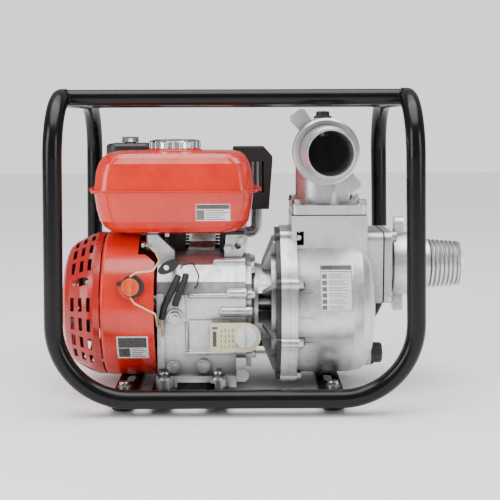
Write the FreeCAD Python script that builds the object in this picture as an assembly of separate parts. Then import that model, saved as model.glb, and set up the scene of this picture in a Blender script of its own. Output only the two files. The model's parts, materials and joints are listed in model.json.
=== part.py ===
import FreeCAD, Part
import math
import os

V = FreeCAD.Vector
X_AXIS = V(1, 0, 0)
Y_AXIS = V(0, 1, 0)
Z_AXIS = V(0, 0, 1)

# ---- Driving dimensions, mm. X runs along the crankshaft towards the suction side, -Y is the front,
# Z is up from the floor. Everything is drawn about the middle of the frame, then moved by ORIGIN_X.
ORIGIN_X = 38.2
TUBE_R = 12.7
TUBE_WALL = 1.8
HOOP_Y = 187.5
BOTTOM_Z = 22.7
TOP_Z = 424.7
HALF_BOTTOM = 243.3
SPLAY = 0.0204
BEND_BOTTOM = 100.0
BEND_TOP = 80.0
ARCH_JOIN_Z = 318.0
RAIL_R = 11.0
RAIL_Y = 117.5

BAR_WIDTH = 34.0
BAR_TOP = 18.0
BAR_LOW = 10.0
BAR_T = 3.2
BAR_END_Y = 180.0
OUTER_BARS_X = (-154.6, 134.0)
ENGINE_BARS_X = (-101.5, -26.0)
FOOT_Y = 150.0
BAR_BOLT_Y = 104.0
ENGINE_BOLTS_Y = (-101.0, 61.0)

CRANK_Y = -20.0
CRANK_Z = 125.3
CYL_X = -50.0
CYL_TILT = 25.0

TANK_X = (-201.0, 27.0)
TANK_Y = (-103.0, 55.0)
TANK_SEAM_Z = 293.0
TANK_TOP_Z = 350.0
TANK_LOW_Z = 234.0
CAP_X = -88.0
CAP_Y = -22.0

SHROUD_X = (-190.0, -114.0)
SHROUD_R = 106.5
DIAL_Y = -124.5
SWITCH_X = -145.5
SWITCH_Z = 166.0

FLANGE_X = 76.0
DRUM_R = 104.0
FLANGE_R = 116.0
SUCTION_Z = 182.0
NECK_X = 127.0
TOP_FACE_Z = 258.5
OUTLET_Z = 350.0
HOSE_R = 37.0
BORE_R = 30.0
HOSE_TAIL = 94.0
THREAD_R = 41.2
LUG_LOW = 5.5
FLAP_PIN_X = 177.4
FLAP_PIN_Z = 222.0


def save(name, shape):
    """Write one subcomponent, moved so that the origin is under the middle of the whole pump."""
    moved = shape.copy()
    moved.translate(V(-ORIGIN_X, 0, 0))
    moved.exportStep("parts/%s.step" % name)
    print(name, len(moved.Solids), "solids", round(moved.Volume / 1000.0, 1), "cm3", moved.isValid())


def box(x0, x1, y0, y1, z0, z1):
    return Part.makeBox(x1 - x0, y1 - y0, z1 - z0, V(x0, y0, z0))


def cyl(r, length, base, axis):
    return Part.makeCylinder(r, length, V(*base), axis)


def crank_cyl(r, x0, x1):
    """Cylinder about the crankshaft line from x0 to x1."""
    return cyl(r, x1 - x0, (x0, CRANK_Y, CRANK_Z), X_AXIS)


def prism_x(points, x0, x1):
    """Extrude a closed outline of (y, z) points from x0 to x1."""
    wire = Part.makePolygon([V(x0, y, z) for y, z in points + points[:1]])
    return Part.Face(wire).extrude(V(x1 - x0, 0, 0))


def prism_y(points, y0, y1):
    """Extrude a closed outline of (x, z) points from y0 to y1."""
    wire = Part.makePolygon([V(x, y0, z) for x, z in points + points[:1]])
    return Part.Face(wire).extrude(V(0, y1 - y0, 0))


def turned(profile, base, axis):
    """Solid of revolution: profile is (radius, height) pairs, turned about axis from base."""
    wire = Part.makePolygon([V(r, 0, h) for r, h in profile + profile[:1]])
    solid = Part.Face(wire).revolve(V(0, 0, 0), Z_AXIS, 360)
    turn = FreeCAD.Rotation(Z_AXIS, axis)
    solid.Placement = FreeCAD.Placement(V(*base), turn)
    return solid


def hex_bolt(base, axis, across, head, washer_r, washer_t):
    """Flanged hexagon head standing on base."""
    radius = across / math.sqrt(3)
    corners = [V(radius * math.cos(math.radians(60 * i)), radius * math.sin(math.radians(60 * i)), washer_t)
               for i in range(6)]
    hexagon = Part.Face(Part.makePolygon(corners + corners[:1])).extrude(V(0, 0, head))
    crown = Part.makeCone(radius + 2.2, radius - 1.3, head + 0.2, V(0, 0, washer_t))
    solid = hexagon.common(crown).fuse(Part.makeCylinder(washer_r, washer_t)).removeSplitter()
    solid.Placement = FreeCAD.Placement(V(*base), FreeCAD.Rotation(Z_AXIS, axis))
    return solid


def rounded_path(points, radius):
    """Straight runs joined by tangent arcs."""
    points = [V(*p) for p in points]
    edges = []
    start = points[0]
    for before, corner, after in zip(points, points[1:], points[2:]):
        run_in = before.sub(corner)
        run_out = after.sub(corner)
        half = run_in.getAngle(run_out) / 2
        back = radius / math.tan(half)
        run_in.normalize()
        run_out.normalize()
        tangent_in = corner + run_in * back
        tangent_out = corner + run_out * back
        middle = run_in + run_out
        middle.normalize()
        centre = corner + middle * (radius / math.sin(half))
        apex = centre - middle * radius
        edges.append(Part.LineSegment(start, tangent_in).toShape())
        edges.append(Part.Arc(tangent_in, apex, tangent_out).toShape())
        start = tangent_out
    edges.append(Part.LineSegment(start, points[-1]).toShape())
    return Part.Wire(edges)


def sweep(points, bend, r):
    """Round bar along a rounded path."""
    path = rounded_path(points, bend)
    first = V(*points[0])
    heading = V(*points[1]).sub(first)
    ring = Part.Wire(Part.makeCircle(r, first, heading))
    return path.makePipeShell([ring], True, True)


def tube(points, bend, r, wall):
    return sweep(points, bend, r).cut(sweep(points, bend, r - wall))


def ring_of(solid, count, centre, axis, first=0.0):
    """Copies of a solid spaced evenly round an axis."""
    copies = []
    for i in range(count):
        turned_copy = solid.copy()
        turned_copy.rotate(V(*centre), axis, first + 360.0 * i / count)
        copies.append(turned_copy)
    return copies


def all_of(shapes):
    return shapes[0].multiFuse(shapes[1:])


def rounded_rect(x0, x1, y0, y1, z, r):
    """Closed wire: rectangle with rounded corners in a level plane."""
    q = r * (1 - math.sqrt(0.5))
    lines = [(V(x0 + r, y0, z), V(x1 - r, y0, z)), (V(x1, y0 + r, z), V(x1, y1 - r, z)),
             (V(x1 - r, y1, z), V(x0 + r, y1, z)), (V(x0, y1 - r, z), V(x0, y0 + r, z))]
    mids = [V(x1 - q, y0 + q, z), V(x1 - q, y1 - q, z), V(x0 + q, y1 - q, z), V(x0 + q, y0 + q, z)]
    edges = []
    for i in range(4):
        edges.append(Part.LineSegment(*lines[i]).toShape())
        edges.append(Part.Arc(lines[i][1], mids[i], lines[(i + 1) % 4][0]).toShape())
    return Part.Wire(edges)


def crank_line(r, angle, x):
    """Point at radius r round the crankshaft line, angle from straight up towards the back."""
    a = math.radians(angle)
    return (x, CRANK_Y + r * math.sin(a), CRANK_Z + r * math.cos(a))


# ---- Carry frame: two hoops, two arches, two rails and four crossbars


def leg_x(z):
    return HALF_BOTTOM - SPLAY * (z - BOTTOM_Z)


def hoop_points(y):
    high = leg_x(ARCH_JOIN_Z)
    return [(-high, y, ARCH_JOIN_Z), (-HALF_BOTTOM, y, BOTTOM_Z),
            (HALF_BOTTOM, y, BOTTOM_Z), (high, y, ARCH_JOIN_Z)]


def arch_points(side):
    low = side * leg_x(ARCH_JOIN_Z)
    high = side * leg_x(TOP_Z)
    return [(low, -HOOP_Y, ARCH_JOIN_Z), (high, -HOOP_Y, TOP_Z),
            (high, HOOP_Y, TOP_Z), (low, HOOP_Y, ARCH_JOIN_Z)]


def make_rail(y):
    reach = leg_x(TOP_Z)
    rail = cyl(RAIL_R, 2 * reach, (-reach, y, TOP_Z), X_AXIS)
    bore = cyl(RAIL_R - TUBE_WALL, 2 * reach, (-reach, y, TOP_Z), X_AXIS)
    rail = rail.cut(bore)
    for side in (-1, 1):
        rail = rail.cut(sweep(arch_points(side), BEND_TOP, TUBE_R + 0.05))
    return rail


def make_bar(x, holes, slots):
    """Channel bar lying open side down, coped onto the two bottom tubes."""
    half = BAR_WIDTH / 2
    bar = box(x - half, x + half, -BAR_END_Y, BAR_END_Y, BAR_LOW, BAR_TOP)
    bar = bar.cut(box(x - half + BAR_T, x + half - BAR_T, -BAR_END_Y, BAR_END_Y, BAR_LOW, BAR_TOP - BAR_T))
    for side in (-1, 1):
        bar = bar.cut(cyl(TUBE_R + 0.05, 80, (x - 40, side * HOOP_Y, BOTTOM_Z), X_AXIS))
    for dx, y in holes:
        bar = bar.cut(cyl(4.5, 10, (x + dx, y, BAR_LOW), Z_AXIS))
    for y in slots:
        slot = box(x - 6, x + 6, y - 16, y + 16, BAR_LOW, BAR_TOP + 1)
        for end in (-16, 16):
            slot = slot.fuse(cyl(6, 10, (x, y + end, BAR_LOW - 1), Z_AXIS))
        bar = bar.cut(slot)
    return bar


def make_foot(x, y):
    foot = turned([(5, 0), (16, 0), (17, 2), (17, 8.2), (15.5, BAR_LOW), (13, BAR_LOW),
                   (13, BAR_TOP - BAR_T), (4.6, BAR_TOP - BAR_T), (4.6, 6), (5, 6)], (x, y, 0), Z_AXIS)
    return foot


def build_frame():
    save("frame_front_hoop", tube(hoop_points(-HOOP_Y), BEND_BOTTOM, TUBE_R, TUBE_WALL))
    save("frame_rear_hoop", tube(hoop_points(HOOP_Y), BEND_BOTTOM, TUBE_R, TUBE_WALL))
    arches = [tube(arch_points(side), BEND_TOP, TUBE_R, TUBE_WALL) for side in (-1, 1)]
    save("frame_arches", Part.makeCompound(arches))
    save("frame_rails", Part.makeCompound([make_rail(-RAIL_Y), make_rail(RAIL_Y)]))
    bars = []
    feet = []
    for x in OUTER_BARS_X:
        out = math.copysign(4.0, x)
        holes = [(0, -FOOT_Y), (0, FOOT_Y), (out, -BAR_BOLT_Y), (out, BAR_BOLT_Y)]
        bars.append(make_bar(x, holes, (-52.0, 52.0)))
        for y in (-FOOT_Y, FOOT_Y):
            feet.append(make_foot(x, y))
    holes = [(0, y) for y in ENGINE_BOLTS_Y]
    bars += [make_bar(x, holes, ()) for x in ENGINE_BARS_X]
    save("crossbars", Part.makeCompound(bars))
    save("rubber_feet", Part.makeCompound(feet))
    save("frame_bolts", Part.makeCompound(make_frame_bolts()))


def make_frame_bolts():
    """Zinc flange bolts: one in each foot, one beside it in each outer bar, four holding the engine."""
    bolts = []
    low = BAR_TOP - BAR_T
    for x in OUTER_BARS_X:
        out = math.copysign(4.0, x)
        for y in (-FOOT_Y, FOOT_Y):
            shank = cyl(4.0, BAR_TOP - 6.5, (x, y, 6.5), Z_AXIS)
            bolts.append(hex_bolt((x, y, BAR_TOP), Z_AXIS, 13, 5, 8.5, 1.6).fuse(shank))
        for y in (-BAR_BOLT_Y, BAR_BOLT_Y):
            shank = cyl(4.0, 14, (x + out, y, BAR_TOP - 14), Z_AXIS)
            nut = hex_bolt((x + out, y, low), V(0, 0, -1), 13, 5, 7.5, 1.4)
            bolts.append(hex_bolt((x + out, y, BAR_TOP), Z_AXIS, 13, 6, 10.0, 2.0).fuse(shank).fuse(nut))
    for x in ENGINE_BARS_X:
        for y in ENGINE_BOLTS_Y:
            shank = cyl(4.0, 23, (x, y, 8), Z_AXIS)
            nut = hex_bolt((x, y, low), V(0, 0, -1), 13, 5, 8.0, 1.5)
            bolts.append(hex_bolt((x, y, 30), Z_AXIS, 13, 7, 10.0, 2.0).fuse(shank).fuse(nut))
    return bolts


# ---- Engine block

CASE_OUT = [(-92, 34), (-92, 148), (-86, 166), (-70, 188), (-52, 198), (-40, 200), (22.3, 200),
            (64.5, 109.6), (64.5, 34)]
CASE_IN = [(-84, 40), (-84, 146), (-79, 161), (-65, 181), (-49, 190), (-40, 192), (18, 192),
           (56.5, 108), (56.5, 40)]
CASE_X = (-112.0, 0.0)
COVER_X1 = 26.0
COVER_RIM = [(-80, 60), (-82, 146), (-58, 178), (12, 186), (52, 112), (52, 60), (-10, 44)]
DRAIN_Z = 46.0
STARTER_BOLT_ANGLES = (-63, 27, 117, 207)
STARTER_BOSS_X = -205.0


def tilt(shape):
    """Stand a shape drawn along +Z at the crank line onto the sloping cylinder axis."""
    shape.rotate(V(0, 0, 0), X_AXIS, -(90.0 - CYL_TILT))
    shape.translate(V(CYL_X, CRANK_Y, CRANK_Z))
    return shape


def block(width, depth, low, high, r):
    """Rounded block centred on the cylinder axis."""
    wire = rounded_rect(-width / 2, width / 2, -depth / 2, depth / 2, low, r)
    return Part.Face(wire).extrude(V(0, 0, high - low))


def build_crankcase():
    x0, x1 = CASE_X
    body = prism_x(CASE_OUT, x0, x1)
    body = body.fuse(box(x0 - 1.5, x1, -108, 70, BAR_TOP, 34))
    for x in ENGINE_BARS_X:
        for y in (ENGINE_BOLTS_Y[0] - 2, ENGINE_BOLTS_Y[1] + 4):
            body = body.fuse(cyl(13, 12, (x, y, BAR_TOP), Z_AXIS))
    body = body.cut(box(-84, -30, -120, 90, BAR_TOP - 1, 25))
    body = body.fuse(crank_cyl(46, x0 - 2, x0 + 10))
    # raised panel, rim and bosses on the front wall
    body = body.fuse(box(-66, -8, -95, -92, 66, 112))
    body = body.fuse(box(x0, x0 + 10, -95, -92, 40, 150))
    body = body.fuse(cyl(13, 6, (-85, -98, 141), Y_AXIS))
    body = body.fuse(box(-98, -72, -98, -92, 112, 141))
    for x, z, r in ((-90, 45, 9), (-46, DRAIN_Z, 10), (-86, 118, 12)):
        body = body.fuse(cyl(r, 12, (x, -101, z), Y_AXIS))
    body = body.cut(prism_x(CASE_IN, x0 + 7, x1 + 1))
    body = body.cut(tilt(Part.makeCylinder(40.2, 120)))
    body = body.cut(crank_cyl(17.55, x0 - 20, x0 + 20))
    for x in ENGINE_BARS_X:
        for y in ENGINE_BOLTS_Y:
            body = body.cut(cyl(4.6, 30, (x, y, BAR_TOP - 5), Z_AXIS))
            body = body.cut(cyl(10.8, 12, (x, y, 30), Z_AXIS))
    body = body.cut(cyl(5.2, 12, (-46, -101.5, DRAIN_Z), Y_AXIS))
    save("crankcase", body.removeSplitter())


def build_engine_bolts(rim):
    """Bolts of the engine: drain, level, sensor nut, cover rim, starter cover and tank posts."""
    drain = hex_bolt((-46, -101, DRAIN_Z), V(0, -1, 0), 14, 6, 9.0, 2.0)
    drain = drain.fuse(cyl(5, 10, (-46, -101, DRAIN_Z), Y_AXIS))
    bolts = [drain, hex_bolt((-90, -101, 45), V(0, -1, 0), 12, 5, 7.5, 1.5)]
    sensor = hex_bolt((-86, -101, 118), V(0, -1, 0), 16, 7, 11.0, 2.0)
    bolts.append(sensor.fuse(cyl(4, 13, (-86, -114, 118), Y_AXIS)).removeSplitter())
    for y, z in rim:
        bolts.append(hex_bolt((22, y, z), X_AXIS, 10, 5, 7.0, 1.4).fuse(cyl(3, 20, (3, y, z), X_AXIS)))
    for angle in STARTER_BOLT_ANGLES:
        bolts.append(hex_bolt(crank_line(97.5, angle, STARTER_BOSS_X), V(-1, 0, 0), 8, 4, 5.0, 1.0))
    bolts.append(hex_bolt((-130.2, -60, 216), V(-1, 0, 0), 10, 5, 6.5, 1.3))
    bolts.append(hex_bolt((8, -58.1, 222), V(0, -1, 0), 10, 5, 7, 1.3))
    bolts.append(hex_bolt((-10, -58.1, 210), V(0, -1, 0), 10, 5, 7, 1.3))
    save("engine_bolts", Part.makeCompound(bolts))


def build_side_cover():
    plate = prism_x(CASE_OUT, CASE_X[1] + 0.3, 14)
    narrow = [(CRANK_Y + (y - CRANK_Y) * 0.9, CRANK_Z + (z - CRANK_Z) * 0.9) for y, z in CASE_OUT]
    plate = plate.fuse(prism_x(narrow, 14, 22))
    plate = plate.fuse(crank_cyl(42, 14, COVER_X1))
    # bosses round the rim for the cover bolts
    for y, z in COVER_RIM:
        plate = plate.fuse(cyl(8, 21.7, (0.3, y, z), X_AXIS))
    # sloping oil filler neck at the front lower corner, and a foot under it
    neck = cyl(13.6, 30, (14, -84, 92), V(0, -1, 0))
    plate = plate.fuse(neck).fuse(box(0.3, 14, -108, -88, BAR_TOP + 8, 60))
    plate = plate.fuse(cyl(9, 8, (9.5, -112, 36), Y_AXIS))
    plate = plate.cut(crank_cyl(12.6, -5, COVER_X1 + 5))
    plate = plate.cut(cyl(9.6, 40, (14, -75, 92), V(0, -1, 0)))
    for y, z in COVER_RIM:
        plate = plate.cut(cyl(3.1, 30, (-2, y, z), X_AXIS))
    save("side_cover", plate.removeSplitter())
    cap = turned([(0, 0), (15.5, 0), (16, 1), (16, 5), (14.5, 7.5), (0, 7.5)], (14, -114.3, 92), V(0, -1, 0))
    cap = cap.cut(box(12, 16, -125, -119.5, 75, 110)).fuse(cyl(9.5, 30, (14, -114.3, 92), Y_AXIS))
    for dark in ring_of(cyl(1.6, 12, (14 + 16.4, -124, 92), Y_AXIS), 12, (14, 0, 92), Y_AXIS):
        cap = cap.cut(dark)
    save("oil_filler_cap", cap.removeSplitter())


def build_cylinder():
    barrel = block(78, 78, 70.2, 150, 20)
    for i in range(8):
        barrel = barrel.fuse(block(112, 104, 79 + 9.0 * i, 82 + 9.0 * i, 12))
    barrel = barrel.fuse(Part.makeCylinder(39.8, 16, V(0, 0, 60)))
    barrel = barrel.cut(Part.makeCylinder(34.0, 100, V(0, 0, 55)))
    save("cylinder_barrel", tilt(barrel))
    head = block(84, 84, 150.3, 182, 14)
    for i in range(4):
        head = head.fuse(block(112, 104, 151 + 8.0 * i, 154 + 8.0 * i, 12))
    head = head.fuse(box(-72, -40, -18, 18, 156, 178))
    head = head.fuse(box(40, 66, -38, -2, 156, 178))
    plug_seat = Part.makeCylinder(7.6, 60, V(0, -36, 160.1), V(0, -1, 0.35))
    head = head.fuse(Part.makeCylinder(10.2, 22, V(0, -34, 161), V(0, -1, 0.35)))
    head = head.cut(plug_seat)
    save("cylinder_head", tilt(head))
    cover = block(80, 72, 182.3, 188, 12).fuse(block(70, 62, 188, 206, 14))
    cover = cover.fuse(block(40, 34, 206, 209, 8))
    cover = cover.cut(block(62, 54, 182, 202, 10))
    save("rocker_cover", tilt(cover))


def build_shroud():
    """Round fan housing with an air duct to the cylinder, its curved label and the engine switch."""
    x0, x1 = SHROUD_X
    duct = [(CRANK_Y, 231.8), (72, 231.8), (100, 204), (100, 120), (74, 70), (CRANK_Y, 70)]
    duct_in = [(CRANK_Y, 229.8), (71, 229.8), (98, 203), (98, 121), (73, 72), (CRANK_Y, 72)]
    shell = crank_cyl(SHROUD_R, x0, x1)
    shell = shell.makeFillet(6.0, [e for e in shell.Edges if e.BoundBox.XMax < x0 + 1])
    shell = shell.fuse(prism_x(duct, x0 + 14, x1)).fuse(crank_cyl(SHROUD_R + 0.5, x1 - 5, x1))
    dial = cyl(18, 30, (SWITCH_X, DIAL_Y, SWITCH_Z), Y_AXIS)
    shell = shell.fuse(dial)
    inner = crank_cyl(SHROUD_R - 2, x0 + 2, x1 + 1).fuse(prism_x(duct_in, x0 + 16, x1 + 1))
    shell = shell.cut(inner).cut(crank_cyl(94, x0 - 5, x0 + 5))
    # the upper corner next to the tank post is cut away
    corner = prism_y([(-138, 240), (x1 + 2, 240), (x1 + 2, 196), (x1, 196), (-128, 206), (-138, 206)], -130, -40)
    save("fan_shroud", shell.cut(corner).removeSplitter())
    skin = crank_cyl(SHROUD_R + 0.4, -167, -123).cut(crank_cyl(SHROUD_R + 0.05, -170, -120))
    warning = skin.common(box(-170, -120, -140, CRANK_Y, 60, 95))
    skin = crank_cyl(DRUM_R + 0.4, 118.5, 163).cut(crank_cyl(DRUM_R + 0.05, 110, 170))
    plate = skin.common(box(110, 170, -140, CRANK_Y, 129, 192))
    skin = tank_shell(TANK_LOWER, -0.4).cut(tank_shell(TANK_LOWER, -0.05))
    front = skin.common(box(-55, -7, -120, -80, 254, 278))
    save("labels", Part.makeCompound([warning, plate, front]))
    housing = cyl(16, 2.4, (SWITCH_X + 3, DIAL_Y - 0.05, SWITCH_Z), V(0, -1, 0))
    housing = housing.fuse(box(SWITCH_X - 19, SWITCH_X, DIAL_Y - 2.4, DIAL_Y - 0.1, SWITCH_Z + 1,
                               SWITCH_Z + 7))
    housing = housing.cut(cyl(3.1, 5.2, (SWITCH_X, DIAL_Y + 1, SWITCH_Z), V(0, -1, 0)))
    save("switch_housing", housing.removeSplitter())
    face = DIAL_Y - 2.9
    knob = cyl(12.5, 9, (SWITCH_X, face, SWITCH_Z), V(0, -1, 0))
    knob = knob.makeFillet(2.0, [e for e in knob.Edges if e.BoundBox.YMax < face - 8])
    knob = knob.cut(box(SWITCH_X - 13, SWITCH_X - 3.5, face - 10, face - 4, SWITCH_Z - 13, SWITCH_Z + 13))
    knob = knob.cut(box(SWITCH_X + 3.5, SWITCH_X + 13, face - 10, face - 4, SWITCH_Z - 13, SWITCH_Z + 13))
    save("switch_knob", knob.fuse(cyl(3.04, 4.8, (SWITCH_X, face - 2, SWITCH_Z), Y_AXIS)).removeSplitter())


def build_starter():
    """Domed starter cover with rows of air slots, the pulley, the rope and the grip."""
    back = SHROUD_X[0] - 0.3
    outer = [(0, 0), (105.5, 0), (105.5, 9), (104, 16), (99, 27), (90, 44), (84, 51), (75, 55.3), (0, 57.3)]
    inner = [(0, -1), (103.4, -1), (103.4, 9), (102, 15), (97, 26), (88, 43), (82.5, 49.5), (74.5, 53.3),
             (0, 55.3)]
    cover = turned(outer, (back, CRANK_Y, CRANK_Z), V(-1, 0, 0))
    cover = cover.cut(turned(inner, (back, CRANK_Y, CRANK_Z), V(-1, 0, 0)))
    channels = []
    for angle in STARTER_BOLT_ANGLES:
        cover = cover.fuse(cyl(7, back - STARTER_BOSS_X, crank_line(97.0, angle, STARTER_BOSS_X), X_AXIS))
        channels.append(cyl(6.4, 50, crank_line(98.5, angle, STARTER_BOSS_X - 50), X_AXIS))
    slots = []
    for depth in (15.0, 27.0, 39.0):
        slot = box(back - depth - 2.7, back - depth + 2.7, CRANK_Y - 9.5, CRANK_Y + 9.5, CRANK_Z + 70,
                   CRANK_Z + 112)
        for i in range(22):
            angle = 360.0 * i / 22
            clear = [abs((angle - a + 180) % 360 - 180) > 13 for a in STARTER_BOLT_ANGLES + (59.5,)]
            if all(clear):
                piece = slot.copy()
                piece.rotate(V(0, CRANK_Y, CRANK_Z), X_AXIS, -angle)
                slots.append(piece)
    for i in range(10):
        piece = box(back - 62, back - 50, CRANK_Y - 3.4, CRANK_Y + 3.4, CRANK_Z + 34, CRANK_Z + 64)
        piece.rotate(V(0, CRANK_Y, CRANK_Z), X_AXIS, -36.0 * i)
        slots.append(piece)
    cover = cover.cut(Part.makeCompound(slots)).cut(Part.makeCompound(channels))
    # rope eyelet on the back upper side and the post the pulley turns on
    rope_z = CRANK_Z + 50.0
    rope_x = -215.0
    cover = cover.cut(cyl(4.0, 130, (rope_x, 0, rope_z), Y_AXIS))
    cover = cover.fuse(crank_cyl(7, back - 56, rope_x + 10))
    save("starter_cover", cover.removeSplitter())
    pulley = turned([(7.06, -6), (52, -6), (52, -4.2), (46, -3.6), (46, 3.6), (52, 4.2), (52, 6), (7.06, 6)],
                    (rope_x, CRANK_Y, CRANK_Z), X_AXIS)
    web = [cyl(9, 20, crank_line(28, a, rope_x - 10), X_AXIS) for a in (0, 72, 144, 216, 288)]
    save("rope_pulley", pulley.cut(Part.makeCompound(web)).removeSplitter())
    save("starter_rope", cyl(2.6, 166, (rope_x, CRANK_Y - 62, rope_z), Y_AXIS))
    grip = Part.makeBox(17, 15, 62, V(rope_x - 8.5, 86.7, rope_z - 31))
    grip = grip.makeFillet(6.5, grip.Edges)
    grip = grip.fuse(turned([(0, 0), (7, 0), (8.2, 14), (0, 14)], (rope_x, 75.5, rope_z), Y_AXIS))
    grip = grip.cut(cyl(2.65, 12, (rope_x, 72.6, rope_z), Y_AXIS))
    save("starter_grip", grip.removeSplitter())


def build_rotor():
    """Crankshaft with its throw, flywheel with fan blades, and the impeller on the far end."""
    shaft = crank_cyl(17.5, -112 - 10, -96).fuse(crank_cyl(15, -178, -112))
    pin_z = CRANK_Z + 28
    for x0, x1 in ((-96, -78), (-34, -16)):
        web = prism_x([(CRANK_Y - 20, pin_z + 16), (CRANK_Y + 20, pin_z + 16), (CRANK_Y + 38, CRANK_Z - 14),
                       (CRANK_Y + 24, CRANK_Z - 40), (CRANK_Y - 24, CRANK_Z - 40),
                       (CRANK_Y - 38, CRANK_Z - 14)], x0, x1)
        shaft = shaft.fuse(web)
    shaft = shaft.fuse(cyl(15, 44, (-78, CRANK_Y, pin_z), X_AXIS))
    shaft = shaft.fuse(crank_cyl(12.5, -16, 60)).fuse(crank_cyl(10, 60, 118))
    save("crankshaft", shaft.removeSplitter())
    wheel = crank_cyl(88, -160, -136).cut(crank_cyl(15.02, -170, -120))
    wheel = wheel.cut(crank_cyl(76, -146, -130).cut(crank_cyl(34, -146, -130)))
    blade = box(-178, -160, CRANK_Y - 1.5, CRANK_Y + 1.5, CRANK_Z + 48, CRANK_Z + 87)
    for piece in ring_of(blade, 16, (0, CRANK_Y, CRANK_Z), X_AXIS):
        wheel = wheel.fuse(piece)
    cup = turned([(10, 0), (38, 0), (38, 22), (35.5, 22), (35.5, 3), (10, 3)], (-160, CRANK_Y, CRANK_Z),
                 V(-1, 0, 0)).cut(crank_cyl(15.02, -170, -150))
    save("flywheel", Part.makeCompound([wheel.removeSplitter(), cup.translated(V(-0.05, 0, 0))]))
    disc = crank_cyl(78, 96, 101).fuse(crank_cyl(20, 90, 118)).cut(crank_cyl(10.02, 80, 118.05))
    for i in range(3):
        vane = Part.Face(Part.Wire([
            Part.Arc(V(101, CRANK_Y, CRANK_Z + 16), V(101, CRANK_Y - 20, CRANK_Z + 48),
                     V(101, CRANK_Y, CRANK_Z + 77)).toShape(),
            Part.LineSegment(V(101, CRANK_Y, CRANK_Z + 77), V(101, CRANK_Y + 6, CRANK_Z + 76)).toShape(),
            Part.Arc(V(101, CRANK_Y + 6, CRANK_Z + 76), V(101, CRANK_Y - 13, CRANK_Z + 48),
                     V(101, CRANK_Y + 6, CRANK_Z + 16)).toShape(),
            Part.LineSegment(V(101, CRANK_Y + 6, CRANK_Z + 16), V(101, CRANK_Y, CRANK_Z + 16)).toShape(),
        ])).extrude(V(20, 0, 0))
        vane.rotate(V(0, CRANK_Y, CRANK_Z), X_AXIS, 120.0 * i)
        disc = disc.fuse(vane)
    save("impeller", disc.removeSplitter())


# ---- Fuel tank


def tank_shell(levels, inset):
    """Loft through rounded outlines; levels are (z, inset of the outline, corner radius)."""
    wires = []
    for z, step, r in levels:
        s = step + inset
        wires.append(rounded_rect(TANK_X[0] + s, TANK_X[1] - s, TANK_Y[0] + s, TANK_Y[1] - s, z,
                                  max(r - inset, 3.0)))
    return Part.makeLoft(wires, True, True)


TANK_LOWER = [(292.9, 1.5, 26), (270, 4, 27), (253, 7.5, 28), (243, 13, 30), (237, 20, 32), (234, 30, 34)]


def tank_outside():
    return tank_shell(TANK_LOWER, 0)


def build_tank():
    t = 1.4
    lower = TANK_LOWER
    upper = [(297, 1.5, 26), (322, 4, 27), (334, 7.5, 27), (342, 12.5, 28), (347.5, 19, 30), (350, 29, 34)]
    lip = rounded_rect(TANK_X[0] - 3, TANK_X[1] + 3, TANK_Y[0] - 3, TANK_Y[1] + 3, 295.1, 28)
    lip_low = rounded_rect(TANK_X[0] - 3, TANK_X[1] + 3, TANK_Y[0] - 3, TANK_Y[1] + 3, 292.9, 28)
    top = tank_shell(upper, 0).fuse(Part.Face(lip).extrude(V(0, 0, 1.9)))
    bottom = tank_shell(lower, 0).fuse(Part.Face(lip_low).extrude(V(0, 0, 1.9)))
    for x0, x1 in ((-211.0, -199.0), (25.0, 37.5)):
        bottom = bottom.fuse(box(x0, x1, -50, -10, 292.9, 294.8))
        top = top.fuse(box(x0, x1, -50, -10, 295.1, 297.0))
    inner_top = [(295, 1.5, 26)] + [(z - t, s, r) for z, s, r in upper[1:]]
    inner_low = [(295, 1.5, 26)] + [(z + t, s, r) for z, s, r in lower[1:]]
    top = top.cut(tank_shell(inner_top, t))
    bottom = bottom.cut(tank_shell(inner_low, t))
    neck = turned([(27, -6), (40, -6), (40, 1.6), (38.5, 2.6), (31, 2.6), (31, 9), (27, 9)],
                  (CAP_X, CAP_Y, TANK_TOP_Z), Z_AXIS)
    top = top.cut(cyl(35, 20, (CAP_X, CAP_Y, 340), Z_AXIS)).fuse(neck)
    save("tank_upper_shell", top.removeSplitter())
    save("tank_lower_shell", bottom.removeSplitter())
    # screw cap with gripping flutes
    cap = turned([(0, 1.8), (30.5, 1.8), (30.5, -7.5), (36.0, -7.5), (37.4, -6), (37.4, 2), (36.2, 4.4),
                  (31, 5.8), (29, 5.2), (18, 6.2), (0, 6.8)], (CAP_X, CAP_Y, TANK_TOP_Z + 10.5), Z_AXIS)
    cap = cap.cut(cyl(31.6, 7.4, (CAP_X, CAP_Y, TANK_TOP_Z + 2.9), Z_AXIS))
    flute = cyl(2.2, 14, (CAP_X + 38.6, CAP_Y, TANK_TOP_Z + 1), Z_AXIS)
    cap = cap.cut(Part.makeCompound(ring_of(flute, 24, (CAP_X, CAP_Y, 0), Z_AXIS)))
    save("fuel_cap", cap.removeSplitter())


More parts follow.
